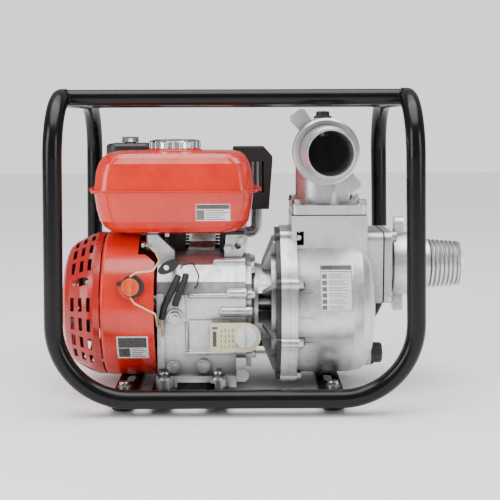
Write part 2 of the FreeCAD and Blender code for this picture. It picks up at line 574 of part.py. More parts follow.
def build_tank_posts():
    """Two cast posts on the front of the block, and the four pads the tank rests on."""
    left = cyl(8.5, 19.6, (-120.5, -60, 212), Z_AXIS)
    left = left.fuse(prism_y([(-120, 214), (-120, 231.6), (-112, 231.6), (-88, 208), (-88, 180), (-111.6, 180),
                              (-111.6, 203), (-120, 208)], -68, -50))
    left = left.fuse(cyl(8, 28, (-129, -60, 216), X_AXIS))
    right = prism_y([(-18, 180), (-0.2, 180), (16, 212), (18, 226), (12, 230), (-14, 230)], -58, -34)
    right = right.cut(cyl(5, 60, (3, -90, 214), Y_AXIS))
    case = prism_x(CASE_OUT, CASE_X[0], CASE_X[1]).fuse(prism_x(CASE_OUT, CASE_X[1], 14))
    posts = [p.cut(case).cut(cyl(8.1, 60, (-5, -58, 178), X_AXIS)) for p in (left, right)]
    save("tank_posts", Part.makeCompound([p.Solids[0].removeSplitter() for p in posts]))
    pads = [box(-126, -108, -68, -52, 231.8, 234.0), box(-12, 12, -56, -36, 230.2, 234.0)]
    pads += [box(-100, -76, -4, 18, 200.2, 234.0), box(-24, 0, -12, 18, 200.2, 234.0)]
    pads = [pad.cut(tank_outside()) for pad in pads]
    save("tank_pads", Part.makeCompound(pads))


# ---- Intake and exhaust


def build_intake():
    """Air cleaner on its elbow, its knob, the carburettor and the control levers."""
    base = prism_y([(-203, 262), (-197, 254), (-134, 254), (-128, 262), (-128, 322), (-203, 322)], 66, 158)
    base = base.fuse(box(-160, -120, 92, 132, 224, 254))
    base = base.cut(box(-199, -132, 70, 154, 258, 330))
    base = base.cut(cyl(14, 60, (-140, 112, 230), Z_AXIS))
    cover = Part.Face(rounded_rect(-207, -124, 62, 162, 322.3, 14)).extrude(V(0, 0, 16))
    cover = cover.fuse(Part.Face(rounded_rect(-203, -130, 66, 158, 338.3, 18)).extrude(V(0, 0, 20)))
    top = [e for e in cover.Edges if min(v.Z for v in e.Vertexes) > 358]
    cover = cover.makeFillet(6.0, top)
    cover = cover.cut(Part.Face(rounded_rect(-199, -134, 70, 154, 321, 12)).extrude(V(0, 0, 34)))
    cover = cover.cut(cyl(3.4, 20, (-168, 108, 345), Z_AXIS))
    save("air_cleaner_cover", cover.removeSplitter())
    element = Part.Face(rounded_rect(-192, -154, 76, 148, 258.1, 12)).extrude(V(0, 0, 76))
    element = element.cut(cyl(12, 90, (-173, 108, 255), Z_AXIS))
    save("air_cleaner_base", Part.makeCompound([base.removeSplitter(), element]))
    knob = turned([(0, 0), (9, 0), (9.6, 2), (7, 7), (0, 8)], (-168, 108, 358.6), Z_AXIS)
    knob = knob.fuse(box(-181, -155, 105.6, 110.4, 359.6, 368.5)).fuse(cyl(3.3, 20, (-168, 108, 339), Z_AXIS))
    save("air_cleaner_knob", knob.removeSplitter())
    carb = cyl(17, 4, (-126.2, 130, 196), X_AXIS)
    carb = carb.fuse(box(-164, -126, 110, 146, 178, 214))
    carb = carb.fuse(cyl(15, 24, (-145, 128, 155), Z_AXIS)).fuse(box(-160, -132, 102, 128, 206, 223.7))
    carb = carb.cut(cyl(2.1, 16, (-156, 104, 190), Y_AXIS))
    carb = carb.cut(cyl(2.1, 16, (-136, 104, 184), Y_AXIS))
    save("carburettor", carb.removeSplitter())
    for name, x, z, out in (("choke_lever", -156, 190, -1), ("fuel_valve_lever", -136, 184, 1)):
        lever = cyl(5, 3, (x, 106.5, z), Y_AXIS).fuse(cyl(2.0, 12, (x, 106.5, z), Y_AXIS))
        arm = [(x - 4, z), (x + 4, z), (x + 4 + out * 16, z - 24), (x - 4 + out * 16, z - 24)]
        save(name, lever.fuse(prism_y(arm, 106.5, 109.3)).removeSplitter())
    # speed control plate bent over the fins, and its lever behind the tank
    bent = [(0, 200.3), (20, 200.3), (29, 207.5), (61, 224), (61, 262), (58, 262), (58, 226.5), (28, 211),
            (18, 203.3), (0, 203.3)]
    plate = prism_x(bent, -72, -32).cut(cyl(3.1, 10, (-52, 55, 244), Y_AXIS))
    save("control_plate", plate)
    lever = cyl(8, 3, (-52, 61.3, 244), Y_AXIS).fuse(cyl(3.04, 6, (-52, 57.3, 244), Y_AXIS))
    lever = lever.fuse(box(-56, -48, 61.3, 64.3, 244, 280)).fuse(box(-58, -46, 61.3, 72, 278, 283))
    save("throttle_lever", lever.removeSplitter())


def build_exhaust():
    body = Part.Face(rounded_rect(0, 50, 74, 150, 262, 14)).extrude(V(0, 0, 76))
    body = body.cut(Part.Face(rounded_rect(2, 48, 76, 148, 264, 12)).extrude(V(0, 0, 72)))
    body = body.cut(cyl(8, 20, (25, 140, 320), Y_AXIS))
    pipe = tube([(16.1, 123, 214), (32, 123, 214), (32, 121, 262.0)], 12, 9, 1.6)
    save("muffler", body.fuse(pipe).removeSplitter())
    shield = prism_y([(-5, 256), (51, 256), (56.5, 330), (56.5, 338), (44, 352), (-5, 352)], 66, 160)
    hollow = prism_y([(-6, 250), (50.5, 255), (54.3, 330), (54.3, 337), (43, 349.8), (-6, 349.8)], 68.2, 157.8)
    shield = shield.cut(hollow).cut(cyl(13, 10, (25, 152, 320), Y_AXIS))
    slots = []
    for i in range(6):
        slots.append(box(2 + 7.5 * i, 5.5 + 7.5 * i, 60, 75, 282, 330))
        slots.append(box(50, 60, 80 + 12 * i, 84 + 12 * i, 284, 326))
    save("muffler_shield", shield.cut(Part.makeCompound(slots)).removeSplitter())


def spark_frame(distance):
    """Point on the spark plug's line, in the cylinder's sloping frame."""
    probe = Part.Vertex(0, -30 - distance, 158 + 0.35 * distance)
    return tilt(probe).Point


def build_ignition():
    """Spark plug with its boot, and the lead from the boot down into the fan housing."""
    axis = tilt(Part.makeLine(V(0, 0, 0), V(0, -1, 0.35)))
    direction = axis.Vertexes[1].Point.sub(axis.Vertexes[0].Point)
    base = spark_frame(8)
    plug = Part.makeCylinder(7.5, 22, base, direction).fuse(Part.makeCylinder(4.5, 40, base, direction))
    tip = spark_frame(32)
    boot = Part.makeCylinder(9, 24, tip, direction).cut(Part.makeCylinder(4.55, 19, tip, direction))
    save("spark_plug", Part.makeCompound([plug.removeSplitter(), boot]))
    end = spark_frame(55.5)
    lead = sweep([(end.x, end.y, end.z), (end.x, end.y - 1.5, end.z + 13), (-110.2, 76, end.z + 13),
                  (-110.2, 69, 228), (-118.5, 63, 212)], 5.0, 3.5)
    save("ignition_lead", lead)


# ---- Front harness: captive cables held at both ends


def build_harness():
    """Front cables, each held at both ends against the block or the fan housing."""
    y = -104.0
    front = DIAL_Y - 6
    upper = sweep([(SWITCH_X, front, SWITCH_Z + 14.5), (SWITCH_X + 8, front, SWITCH_Z + 20),
                   (-114, DIAL_Y - 2, SWITCH_Z + 22), (-106, -110, SWITCH_Z + 34), (-113, -94, SWITCH_Z + 44),
                   (-122, -80, SWITCH_Z + 49), (-123, -69.2, SWITCH_Z + 50)], 4.0, 1.3)
    lower = sweep([(SWITCH_X, front, SWITCH_Z - 14.5), (SWITCH_X + 6, front, SWITCH_Z - 23),
                   (-122, -131, 134), (-110.8, -130, 128), (-110.8, -112, 108), (-109, -95.4, 104)], 4.0, 1.3)
    tail = sweep([(-104.7, y, 114.8), (-104, y, 102), (-104, -97.2, 90)], 6, 1.6)
    save("switch_wires", Part.makeCompound([upper, lower, tail]))
    sleeves = [sweep([(-81, -97.5, 176), (-84.5, y, 168), (-101.5, y, 132), (-104.5, y, 115.5)], 5.0, 4.6),
               sweep([(-70, -97.5, 178), (-72, y, 170), (-84.6, y, 139), (-85, y, 134.5)], 3.0, 4.6)]
    clip = Part.Face(Part.Wire(Part.Ellipse(V(-94, -99.2, 190), 16, 8).toShape()))
    clip.rotate(V(-94, -99.2, 190), X_AXIS, 90)
    clip.rotate(V(-94, -99.2, 190), Y_AXIS, -28)
    clip = clip.extrude(V(0, -7, 0)).cut(cyl(4, 30, (-97, -120, 189), Y_AXIS))
    clip = clip.fuse(cyl(3.5, 29.9, (-89, -99.5, 192), Y_AXIS))
    loop = sweep([(-78, -92, 186), (-74, -99, 192), (-60, -99, 195), (-52, -99, 178), (-54, -99, 163),
                  (-58, -94.0, 158)], 3.0, 1.0)
    save("harness_sleeves", Part.makeCompound(sleeves + [clip.removeSplitter(), loop]))


def build_tag():
    """Hanging notice: a plate with one round end slipped under the filler cap."""
    y0 = -114.25
    tag = box(-36, 14, y0, y0 + 0.15, 70, 112).fuse(cyl(21, 0.15, (14, y0, 91), Y_AXIS))
    tag = tag.cut(cyl(9.8, 3, (14, y0 - 1, 92), Y_AXIS))
    save("caution_tag", tag.removeSplitter())


# ---- Pump


def build_adapter():
    """Open cage that carries the pump on the engine, the black backing ring and the rear cover."""
    cage = crank_cyl(57, 26.3, 57).cut(crank_cyl(47, 25, 58))
    cage = cage.fuse(crank_cyl(58.5, 26.3, 32).cut(crank_cyl(42.5, 25, 33)))
    cage = cage.fuse(crank_cyl(82, 51, 57).cut(crank_cyl(47, 50, 58)))
    cage = cage.cut(box(32, 51, -120, 80, CRANK_Z - 22, CRANK_Z + 30))
    rib = prism_x([(CRANK_Y - 3, CRANK_Z + 55), (CRANK_Y + 3, CRANK_Z + 55), (CRANK_Y + 3, CRANK_Z + 102),
                   (CRANK_Y - 3, CRANK_Z + 102)], 38, 57)
    rib = rib.cut(Part.Face(Part.makePolygon([V(37, -99, CRANK_Z + 60), V(37, -99, CRANK_Z + 103),
                                              V(54, -99, CRANK_Z + 103), V(37, -99, CRANK_Z + 60)])).extrude(
        V(0, 200, 0)))
    for piece in ring_of(rib, 8, (0, CRANK_Y, CRANK_Z), X_AXIS, 22.5):
        cage = cage.fuse(piece.cut(crank_cyl(47, 20, 60)))
    save("pump_adapter", cage.removeSplitter())
    ring = crank_cyl(110, 57.3, 63.7)
    for piece in ring_of(crank_cyl(9, 57.3, 63.7).translated(V(0, 0, 107)), 8, (0, CRANK_Y, CRANK_Z), X_AXIS,
                         22.5):
        ring = ring.fuse(piece)
    ring = ring.cut(crank_cyl(40, 50, 70))
    save("backing_ring", ring.removeSplitter())
    plate = crank_cyl(FLANGE_R - 3, 64, FLANGE_X - 0.3)
    for piece in ring_of(crank_cyl(9.5, 64, FLANGE_X - 0.3).translated(V(0, 0, 109.5)), 8,
                         (0, CRANK_Y, CRANK_Z), X_AXIS, 22.5):
        plate = plate.fuse(piece)
    plate = plate.cut(crank_cyl(24, 60, 80))
    save("pump_rear_cover", plate.removeSplitter())


def build_casing():
    outer = turned([(0, 0), (FLANGE_R - 3, 0), (FLANGE_R - 3, 11), (DRUM_R, 11), (DRUM_R, 90), (101, 104),
                    (95, 113), (82, 120), (60, 124), (0, 127)], (FLANGE_X, CRANK_Y, CRANK_Z), X_AXIS)
    for piece in ring_of(crank_cyl(9.5, FLANGE_X, 87).translated(V(0, 0, 109.5)), 8,
                         (0, CRANK_Y, CRANK_Z), X_AXIS, 22.5):
        outer = outer.fuse(piece)
    # discharge block on top, suction boss and drain boss on the end
    outer = outer.fuse(box(80, 188, CRANK_Y - 57, CRANK_Y + 57, 176, TOP_FACE_Z))
    suction = Part.Face(rounded_rect(-52, 52, -54, 54, 0, 12)).extrude(V(0, 0, 44))
    suction.Placement = FreeCAD.Placement(V(167, CRANK_Y, SUCTION_Z), FreeCAD.Rotation(Z_AXIS, X_AXIS))
    outer = outer.fuse(suction.cut(box(160, 167.5, -200, 200, 0, 300)))
    outer = outer.fuse(cyl(19, 30, (170, CRANK_Y, 47), X_AXIS))
    # three short cast lines on the front
    for z in (82, 119, 156):
        outer = outer.fuse(box(87, 108, CRANK_Y - 105.2, CRANK_Y - 80, z, z + 1.6).common(
            crank_cyl(DRUM_R + 1.2, 80, 120)))
    inner = turned([(0, -1), (97, -1), (97, 88), (94, 98), (85, 108), (60, 114), (0, 116)],
                   (FLANGE_X, CRANK_Y, CRANK_Z), X_AXIS)
    casing = outer.cut(inner)
    casing = casing.cut(box(88, 180, CRANK_Y - 49, CRANK_Y + 49, 170, 248))
    casing = casing.cut(cyl(34, 40, (NECK_X, CRANK_Y, 230), Z_AXIS))
    casing = casing.cut(cyl(33, 60, (170, CRANK_Y, SUCTION_Z), X_AXIS))
    casing = casing.cut(cyl(12.06, 60, (160, CRANK_Y, 47), X_AXIS))
    for dx in (-46, 46):
        for dy in (-49, 49):
            casing = casing.cut(cyl(4.1, 24, (134 + dx, CRANK_Y + dy, TOP_FACE_Z - 22), Z_AXIS))
    for dy in (-42, 42):
        for dz in (-44, 44):
            casing = casing.cut(cyl(4.1, 20, (192, CRANK_Y + dy, SUCTION_Z + dz), X_AXIS))
    for i in range(8):
        casing = casing.cut(cyl(4.2, 30, crank_line(109.5, 22.5 + 45 * i, 60), X_AXIS))
        casing = casing.cut(cyl(9.0, 10.5, crank_line(109.5, 22.5 + 45 * i, 87.02), X_AXIS))
    # the top two flange bolts sit in pockets open to the front and back of the discharge block
    casing = casing.cut(box(87.02, 97.5, CRANK_Y - 60, CRANK_Y - 41.9, 216.5, 236.5))
    casing = casing.cut(box(87.02, 97.5, CRANK_Y + 41.9, CRANK_Y + 60, 216.5, 236.5))
    casing = casing.cut(cyl(5.0, 32, (FLAP_PIN_X, CRANK_Y - 16, FLAP_PIN_Z), Y_AXIS))
    casing = casing.fuse(cyl(2.5, 100, (FLAP_PIN_X, CRANK_Y - 50, FLAP_PIN_Z), Y_AXIS))
    save("pump_casing", casing.removeSplitter())
    plug = turned([(0, 0), (18, 0), (18, 4), (15.5, 5.5), (15.0, 15), (13.5, 17), (0, 17)],
                  (200.3, CRANK_Y, 47), X_AXIS)
    for dark in ring_of(cyl(2.2, 20, (205.5, CRANK_Y, 47 + 16.6), X_AXIS), 12, (0, CRANK_Y, 47), X_AXIS):
        plug = plug.cut(dark)
    save("drain_plug", plug.fuse(cyl(12, 22, (178.3, CRANK_Y, 47), X_AXIS)).removeSplitter())


def barb_profile(length, ribs):
    """Hose tail from a collar: plain land at the root, then ribs that shrink to the tip."""
    land = 46.0
    points = [(BORE_R, 0), (THREAD_R, 0), (THREAD_R, 4), (HOSE_R - 0.6, 4), (HOSE_R - 0.6, 24), (HOSE_R, 24),
              (HOSE_R, land)]
    pitch = (length - land - 3.0) / ribs
    for i in range(ribs):
        crest = HOSE_R - 0.7 - 3.4 * i / ribs
        start = land + 0.5 + pitch * i
        points += [(crest - 2.6, start), (crest - 2.6, start + pitch * 0.15), (crest, start + pitch * 0.45),
                   (crest - 1.8, start + pitch * 0.97)]
    return points + [(32.6, length - 2.5), (31.8, length), (BORE_R, length)]


def make_nut(turn):
    """Union nut with two opposite lugs, drawn along +Z; it turns on the collar of the hose tail."""
    nut = turned([(THREAD_R + 0.5, 0), (45, 0), (46.5, 1.5), (46.5, 28), (43.5, 31), (HOSE_R + 0.6, 31),
                  (HOSE_R + 0.6, 20), (THREAD_R + 0.5, 20)], (0, 0, 0), Z_AXIS)
    for side in (0, 180):
        outline = [(-11, 43), (11, 43), (12.5, 64), (8.5, 69), (-8.5, 69), (-12.5, 64)]
        corners = [V(across, out, LUG_LOW) for across, out in outline]
        lug = Part.Face(Part.makePolygon(corners + corners[:1])).extrude(V(0, 0, 13))
        lug.rotate(V(0, 0, 0), Z_AXIS, side)
        nut = nut.fuse(lug)
    nut.rotate(V(0, 0, 0), Z_AXIS, turn)
    return nut.removeSplitter()


def build_discharge():
    face_y = -84.0
    flange = Part.Face(rounded_rect(80.5, 187.5, CRANK_Y - 57, CRANK_Y + 57, TOP_FACE_Z + 1.8, 8)).extrude(
        V(0, 0, 13))
    points = [(NECK_X, CRANK_Y, 262), (NECK_X, CRANK_Y, OUTLET_Z), (NECK_X, face_y, OUTLET_Z)]
    elbow = sweep(points, 44, 39.0)
    elbow = elbow.fuse(flange)
    elbow = elbow.fuse(prism_y([(NECK_X - 40, 271), (NECK_X - 30, 320), (NECK_X + 30, 320),
                                (NECK_X + 40, 271)], CRANK_Y + 20, CRANK_Y + 38))
    elbow = elbow.fuse(cyl(THREAD_R, 16, (NECK_X, face_y, OUTLET_Z), Y_AXIS))
    elbow = elbow.fuse(cyl(14, 20, (NECK_X, CRANK_Y - 8, 376), Z_AXIS))
    elbow = elbow.cut(sweep([(NECK_X, CRANK_Y, 255), (NECK_X, CRANK_Y, OUTLET_Z),
                             (NECK_X, face_y - 5, OUTLET_Z)], 44, 32.5))
    elbow = elbow.cut(cyl(8.06, 40, (NECK_X, CRANK_Y - 8, 370), Z_AXIS))
    for dx in (-46, 46):
        for dy in (-49, 49):
            elbow = elbow.cut(cyl(4.3, 30, (134 + dx, CRANK_Y + dy, 255), Z_AXIS))
    save("discharge_elbow", elbow.removeSplitter())
    gasket = Part.Face(rounded_rect(81, 187, CRANK_Y - 56.5, CRANK_Y + 56.5, TOP_FACE_Z + 0.1, 8)).extrude(
        V(0, 0, 1.6))
    gasket = gasket.cut(cyl(34, 10, (NECK_X, CRANK_Y, 255), Z_AXIS))
    bolts = []
    for dx in (-46, 46):
        for dy in (-49, 49):
            at = (134 + dx, CRANK_Y + dy)
            gasket = gasket.cut(cyl(4.3, 10, (at[0], at[1], 255), Z_AXIS))
            bolts.append(hex_bolt((at[0], at[1], TOP_FACE_Z + 14.8), Z_AXIS, 13, 6.5, 9.0, 1.6).fuse(
                cyl(4, 36, (at[0], at[1], TOP_FACE_Z - 21), Z_AXIS)))
    save("pump_bolts", Part.makeCompound(bolts + make_casing_bolts()))
    seal = crank_cyl(23.6, 64, 88).cut(crank_cyl(10.06, 60, 90))
    save("seals_and_gaskets", Part.makeCompound([gasket, seal, make_suction_gasket()]))
    plug = turned([(0, 0), (13, 0), (13, 3), (10, 4), (9.4, 10), (0, 10.5)], (NECK_X, CRANK_Y - 8, 396.2),
                  Z_AXIS).fuse(cyl(8, 18, (NECK_X, CRANK_Y - 8, 378.3), Z_AXIS))
    save("priming_plug", plug.removeSplitter())
    barb = turned(barb_profile(HOSE_TAIL, 7), (NECK_X, face_y - 0.3, OUTLET_Z), V(0, -1, 0))
    save("discharge_barb", barb)
    nut = make_nut(38)
    nut.Placement = FreeCAD.Placement(V(NECK_X, face_y + 12.5, OUTLET_Z), FreeCAD.Rotation(Z_AXIS, V(0, -1, 0)))
    save("discharge_nut", nut)


def make_casing_bolts():
    """Bolts round the casing flange and the four that hold the suction flange."""
    bolts = []
    for i in range(8):
        centre = crank_line(109.5, 22.5 + 45 * i, 87.05)
        shank = cyl(4, 10.5, (76.6, centre[1], centre[2]), X_AXIS)
        bolts.append(hex_bolt(centre, X_AXIS, 12, 6, 8.3, 1.6).fuse(shank))
    for dy in (-42, 42):
        for dz in (-44, 44):
            centre = (SUCTION_FLANGE_X[1] + 0.05, CRANK_Y + dy, SUCTION_Z + dz)
            shank = cyl(4, 26, (centre[0] - 26, centre[1], centre[2]), X_AXIS)
            bolts.append(hex_bolt(centre, X_AXIS, 13, 6.5, 8.6, 1.6).fuse(shank))
    return bolts


SUCTION_END_X = 211.0
SUCTION_FLANGE_X = (213.4, 224.0)


def suction_plate(x0, x1, bore):
    """Square plate with rounded corners and four holes, across the suction line."""
    plate = Part.Face(rounded_rect(-52, 52, -54, 54, 0, 12)).extrude(V(0, 0, x1 - x0))
    plate.Placement = FreeCAD.Placement(V(x0, CRANK_Y, SUCTION_Z), FreeCAD.Rotation(Z_AXIS, X_AXIS))
    plate = plate.cut(cyl(bore, 60, (x0 - 5, CRANK_Y, SUCTION_Z), X_AXIS))
    for dy in (-42, 42):
        for dz in (-44, 44):
            plate = plate.cut(cyl(4.3, 60, (x0 - 5, CRANK_Y + dy, SUCTION_Z + dz), X_AXIS))
    return plate


def make_suction_gasket():
    return suction_plate(SUCTION_END_X + 0.1, SUCTION_FLANGE_X[0] - 0.1, 33)


def build_suction():
    """Suction flange with a threaded collar, hose tail, union nut and the flap that holds the prime."""
    x0, x1 = SUCTION_FLANGE_X
    collar_end = 236.0
    flange = suction_plate(x0, x1, 31)
    collar = cyl(THREAD_R, collar_end - x1 + 2, (x1 - 2, CRANK_Y, SUCTION_Z), X_AXIS)
    flange = flange.fuse(collar).cut(cyl(31, 60, (x0 - 5, CRANK_Y, SUCTION_Z), X_AXIS))
    save("suction_flange", flange.removeSplitter())
    barb = turned(barb_profile(HOSE_TAIL, 7), (collar_end + 0.3, CRANK_Y, SUCTION_Z), X_AXIS)
    save("suction_barb", barb)
    nut = make_nut(90)
    nut.Placement = FreeCAD.Placement(V(collar_end - 8.0, CRANK_Y, SUCTION_Z), FreeCAD.Rotation(Z_AXIS, X_AXIS))
    save("suction_nut", nut)
    x = FLAP_PIN_X
    flap = cyl(36, 4, (x - 2, CRANK_Y, SUCTION_Z), X_AXIS).fuse(cyl(27, 3, (x - 5, CRANK_Y, SUCTION_Z), X_AXIS))
    flap = flap.fuse(box(x - 2, x + 2, CRANK_Y - 12, CRANK_Y + 12, SUCTION_Z, FLAP_PIN_Z - 3))
    flap = flap.fuse(cyl(4.2, 28, (x, CRANK_Y - 14, FLAP_PIN_Z), Y_AXIS))
    flap = flap.cut(cyl(2.56, 40, (x, CRANK_Y - 20, FLAP_PIN_Z), Y_AXIS))
    save("check_flap", flap.removeSplitter())


def main():
    os.makedirs("parts", exist_ok=True)
    build_frame()
    build_crankcase()
    build_side_cover()
    build_engine_bolts(COVER_RIM)
    build_cylinder()
    build_shroud()
    build_starter()
    build_rotor()
    build_tank()
    build_tank_posts()
    build_intake()
    build_exhaust()
    build_ignition()
    build_harness()
    build_tag()
    build_adapter()
    build_casing()
    build_discharge()
    build_suction()


main()
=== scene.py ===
import json
import math
import random

import bmesh
import bpy
from mathutils import Matrix, Vector


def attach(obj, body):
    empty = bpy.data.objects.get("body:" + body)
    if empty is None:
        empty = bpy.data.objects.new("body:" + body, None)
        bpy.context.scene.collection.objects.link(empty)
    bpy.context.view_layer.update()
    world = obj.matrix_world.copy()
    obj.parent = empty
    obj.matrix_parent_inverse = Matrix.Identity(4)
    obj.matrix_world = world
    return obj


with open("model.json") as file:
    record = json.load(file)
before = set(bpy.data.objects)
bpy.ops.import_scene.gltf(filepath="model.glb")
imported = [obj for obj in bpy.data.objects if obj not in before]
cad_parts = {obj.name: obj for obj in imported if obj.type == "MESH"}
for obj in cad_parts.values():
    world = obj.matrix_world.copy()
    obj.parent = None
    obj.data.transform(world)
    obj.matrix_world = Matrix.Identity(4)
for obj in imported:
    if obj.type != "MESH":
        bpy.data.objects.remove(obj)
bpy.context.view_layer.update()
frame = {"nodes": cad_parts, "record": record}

MM = 0.001
ORIGIN_X = 38.2

# ---- Camera, fitted to the carry frame's hoops in the photograph
CAMERA_AT = Vector((-0.0230, -1.5031, 0.3948))
CAMERA_PITCH = math.radians(7.376)
CAMERA_YAW = math.radians(0.216)
CAMERA_ROLL = math.radians(-0.218)
CAMERA_LENS = 72.58
CAMERA_SENSOR = 36.0

# ---- World strength: on the pump, and as the camera sees it behind the pump
AMBIENT = 0.34
BACKDROP = 1.35

FLOOR_REACH = 6.0
SKY_ENERGY = 2.8
SKY_ANGLE = math.radians(70)
LIGHT_TARGET = (0.0, 0.0, 0.2)

# name, place, width and height in metres, power in watts
SOFTBOXES = [
    ("top_softbox", (0.0, -0.3, 1.7), 1.6, 1.2, 20.0),
    ("left_softbox", (-1.5, -1.1, 0.9), 0.7, 1.4, 20.0),
    ("right_softbox", (1.4, -1.3, 0.8), 0.6, 1.2, 12.0),
]

# ---- Places in millimetres about the middle of the carry frame, as the part has them
RAIL_Y = 117.5
TOP_Z = 424.7
TUBE_R = 12.7
ARCH_X = 235.1
HOOP_Y = 187.5
JOIN_X = 237.3
JOIN_Z = 318.0

# ---- Weld beads: radius of the ring and of the bead in millimetres, and ripples round it
RAIL_BEAD = (10.9, 1.4, 18)
HOOP_BEAD = (11.9, 0.8, 20)
BEAD_SEED = 7
BEAD_SIDES = 8
RIPPLE_SWELL = 0.22
RIPPLE_WOBBLE = 0.06

# ---- Cast bosses on the block's front wall: start, end and radius in millimetres
BOSSES = [
    ((-10, -90, 149.5), (14, -90, 149.5), 7.5),
    ((-20, -90, 123.5), (22, -90, 123.5), 7.5),
    ((-30, -64, 190), (12, -64, 190), 7.5),
    ((-72, -94.5, 64), (-2, -94.5, 64), 2.2),
    ((-66, -93, 147), (-12, -93, 147), 3.6),
    ((-70, -92.5, 70), (-70, -92.5, 108), 2.0),
]
BOSS_SIDES = 20
DOME_STEPS = 5
DOME_HEIGHT = 0.55


def at(x, y, z):
    """Millimetres about the middle of the carry frame to metres in the shared frame."""
    return Vector(((x - ORIGIN_X) * MM, y * MM, z * MM))


# ---- Node helpers


class Shade:
    """One material under construction, on the part's own coordinates."""

    def __init__(self, name):
        self.material = bpy.data.materials.new(name)
        self.material.use_nodes = True
        self.nodes = self.material.node_tree.nodes
        self.links = self.material.node_tree.links
        self.shader = self.nodes["Principled BSDF"]
        self.place = self.nodes.new("ShaderNodeTexCoord").outputs["Object"]

    def join(self, source, target):
        self.links.new(source, target)

    def noise(self, scale, detail=3.0, rough=0.55, stretch=None):
        node = self.nodes.new("ShaderNodeTexNoise")
        node.inputs["Scale"].default_value = scale
        node.inputs["Detail"].default_value = detail
        node.inputs["Roughness"].default_value = rough
        place = self.place
        if stretch:
            mapping = self.nodes.new("ShaderNodeMapping")
            mapping.inputs["Scale"].default_value = stretch
            self.join(place, mapping.inputs["Vector"])
            place = mapping.outputs["Vector"]
        self.join(place, node.inputs["Vector"])
        return node.outputs["Fac"]

    def cells(self, scale):
        node = self.nodes.new("ShaderNodeTexVoronoi")
        node.inputs["Scale"].default_value = scale
        self.join(self.place, node.inputs["Vector"])
        return node.outputs["Distance"]

    def ramp(self, source, stops):
        node = self.nodes.new("ShaderNodeValToRGB")
        points = node.color_ramp.elements
        while len(points) < len(stops):
            points.new(0.5)
        for point, (where, colour) in zip(points, stops):
            point.position = where
            point.color = (*colour, 1.0)
        self.join(source, node.inputs["Fac"])
        return node.outputs["Color"]

    def spread(self, source, low, high, start=0.3, end=0.7):
        node = self.nodes.new("ShaderNodeMapRange")
        node.inputs["From Min"].default_value = start
        node.inputs["From Max"].default_value = end
        node.inputs["To Min"].default_value = low
        node.inputs["To Max"].default_value = high
        self.join(source, node.inputs["Value"])
        return node.outputs["Result"]

    def math(self, operation, *values):
        node = self.nodes.new("ShaderNodeMath")
        node.operation = operation
        for socket, value in zip(node.inputs, values):
            if isinstance(value, (int, float)):
                socket.default_value = value
            else:
                self.join(value, socket)
        return node.outputs["Value"]

    def mix(self, factor, first, second):
        node = self.nodes.new("ShaderNodeMix")
        node.data_type = "RGBA"
        self.join(factor, node.inputs["Factor"])
        for socket, value in ((node.inputs["A"], first), (node.inputs["B"], second)):
            if isinstance(value, tuple):
                socket.default_value = (*value, 1.0)
            else:
                self.join(value, socket)
        return node.outputs["Result"]

    def bump(self, heights, distance):
        """Stack height fields, each (source, strength), into the shader's normal."""
        last = None
        for source, strength in heights:
            node = self.nodes.new("ShaderNodeBump")
            node.inputs["Strength"].default_value = strength
            node.inputs["Distance"].default_value = distance
            self.join(source, node.inputs["Height"])
            if last:
                self.join(last, node.inputs["Normal"])
            last = node.outputs["Normal"]
        self.join(last, self.shader.inputs["Normal"])

    def set(self, **values):
        for name, value in values.items():
            self.shader.inputs[name.replace("_", " ")].default_value = value

    # facing factor, used to paint shade onto surfaces that turn away from the camera
    def edge(self, blend):
        node = self.nodes.new("ShaderNodeLayerWeight")
        node.inputs["Blend"].default_value = blend
        return node.outputs["Facing"]

    def axes(self):
        node = self.nodes.new("ShaderNodeSeparateXYZ")
        self.join(self.place, node.inputs["Vector"])
        return node.outputs["X"], node.outputs["Y"], node.outputs["Z"]


def painted(name, deep, main, roughness, coat, grain=420.0, peel=0.10, sheen=0.5):
    """Gloss paint or powder coat: slow colour drift, orange peel, a few dull patches, and painted shade
    that darkens the paint toward its silhouette.
    """
    s = Shade(name)
    drift = s.noise(9.0, 4.0)
    body = s.ramp(drift, [(0.3, deep), (0.7, main)])
    # painted shade: the colour darkens toward the deep tone where the surface turns away from the camera
    s.join(s.mix(s.edge(0.35), body, deep), s.shader.inputs["Base Color"])
    s.join(s.spread(s.noise(60.0, 5.0), roughness * 0.75, roughness * 1.35), s.shader.inputs["Roughness"])
    s.set(Coat_Weight=coat, Coat_Roughness=0.08, Metallic=0.0, Specular_IOR_Level=sheen)
    s.bump([(s.noise(grain, 2.0), peel), (s.noise(38.0, 2.0), peel * 0.6)], 0.0004)
    return s.material


def cast_metal(name, dark, light, roughness, metallic, grit=0.35):
    """Sand-cast or die-cast metal: mottled skin, fine grit, faint flow marks, and painted shade that
    darkens the recesses.
    """
    s = Shade(name)
    skin = s.noise(26.0, 6.0, 0.62)
    tone = s.ramp(skin, [(0.28, dark), (0.5, light), (0.75, tuple(min(1.0, c * 1.07) for c in light))])
    grain = s.noise(900.0, 3.0)
    fleck = s.spread(grain, 0.0, 0.16, 0.35, 0.7)
    # painted shade: ambient occlusion darkens the colour in recesses and between parts, toward a third of
    # the dark tone
    occlusion = s.nodes.new("ShaderNodeAmbientOcclusion")
    occlusion.samples = 8
    occlusion.inputs["Distance"].default_value = 0.03
    painted_recess_shade = s.spread(occlusion.outputs["AO"], 0.85, 0.0, 0.25, 0.95)
    skin_tone = s.mix(fleck, tone, dark)
    s.join(s.mix(painted_recess_shade, skin_tone, tuple(c * 0.32 for c in dark)), s.shader.inputs["Base Color"])
    s.join(s.spread(s.noise(140.0, 4.0), roughness * 0.8, roughness * 1.25), s.shader.inputs["Roughness"])
    s.set(Metallic=metallic)
    s.bump([(grain, grit), (s.cells(520.0), grit * 0.5), (s.noise(45.0, 3.0), grit * 0.4)], 0.00035)
    return s.material


